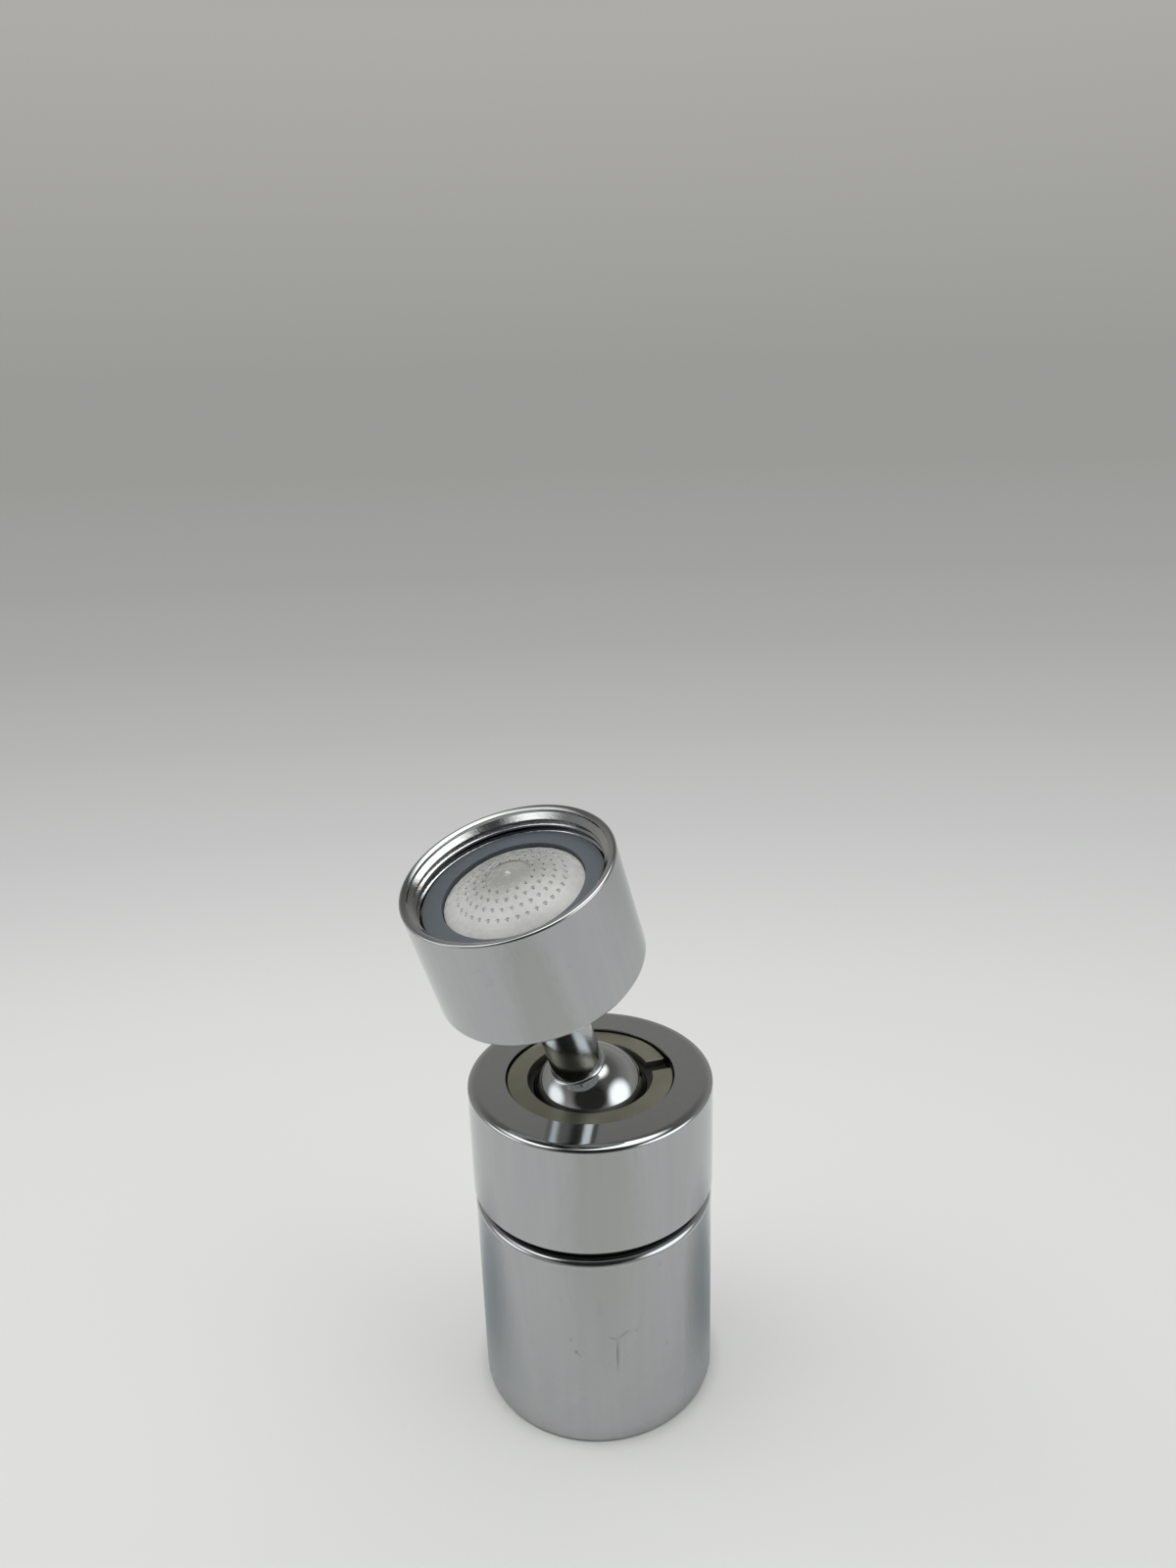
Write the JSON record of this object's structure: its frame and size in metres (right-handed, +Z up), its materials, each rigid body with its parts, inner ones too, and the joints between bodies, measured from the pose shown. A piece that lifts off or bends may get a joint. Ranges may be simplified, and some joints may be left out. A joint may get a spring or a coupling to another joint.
{
  "type": "tap aerator",
  "caption": "Chromed swivel tap aerator: threaded inlet cup with a domed filter, leaning on a ball-joint stud in a round housing, above a sliding outlet sleeve that switches stream and spray.",
  "frame": {"origin": "centre of the sleeve's foot, on the surface that the part stands on", "axes": "+Z up along the axis of the sleeve and housing, -X towards the side the inlet cup leans to"},
  "size_m": [0.0379, 0.03, 0.0774],
  "materials": {
    "chrome_plate": "bright chrome plate on turned brass",
    "washer_rubber": "matt dark grey moulded rubber",
    "filter_plastic": "translucent white moulded plastic",
    "ring_steel": "dull grey spring steel",
    "black_acetal": "black moulded acetal",
    "black_rubber": "black moulded rubber",
    "white_acetal": "white moulded acetal",
    "stem_brass": "turned brass",
    "grey_plastic": "grey moulded plastic",
    "screen_steel": "woven stainless wire"
  },
  "bodies": {
    "housing": {"housing": "chrome_plate", "split_ring": "ring_steel", "ball_seal": "black_rubber", "ball_seat": "white_acetal", "valve_stem": "stem_brass", "piston_ring": "black_rubber", "nose_seal": "black_rubber", "bumper_ring": "black_rubber"},
    "bearing": {"bearing_collar": "black_acetal"},
    "head": {"ball_stud": "chrome_plate", "connector_cup": "chrome_plate", "inlet_washer": "washer_rubber", "filter_dome": "filter_plastic"},
    "outlet": {"sleeve": "chrome_plate", "slide_body": "white_acetal", "spray_plate": "grey_plastic", "aerator_cage": "white_acetal", "jet_disc": "white_acetal", "mesh_screen": "screen_steel", "outlet_grid": "grey_plastic"}
  },
  "joints": [
    {"name": "swivel_turn", "type": "hinge", "parent": "housing", "child": "bearing", "pos_m": [0, 0, 0.03905], "axis": [0, 0, 1], "continuous": true},
    {"name": "ball_tilt", "type": "hinge", "parent": "bearing", "child": "head", "pos_m": [0, 0, 0.03905], "axis": [0, -1, 0], "range_deg": [-58.1, 21.9]},
    {"name": "sleeve_slide", "type": "slide", "parent": "housing", "child": "outlet", "axis": [0, 0, -1], "range_m": [0, 0.005]}
  ]
}
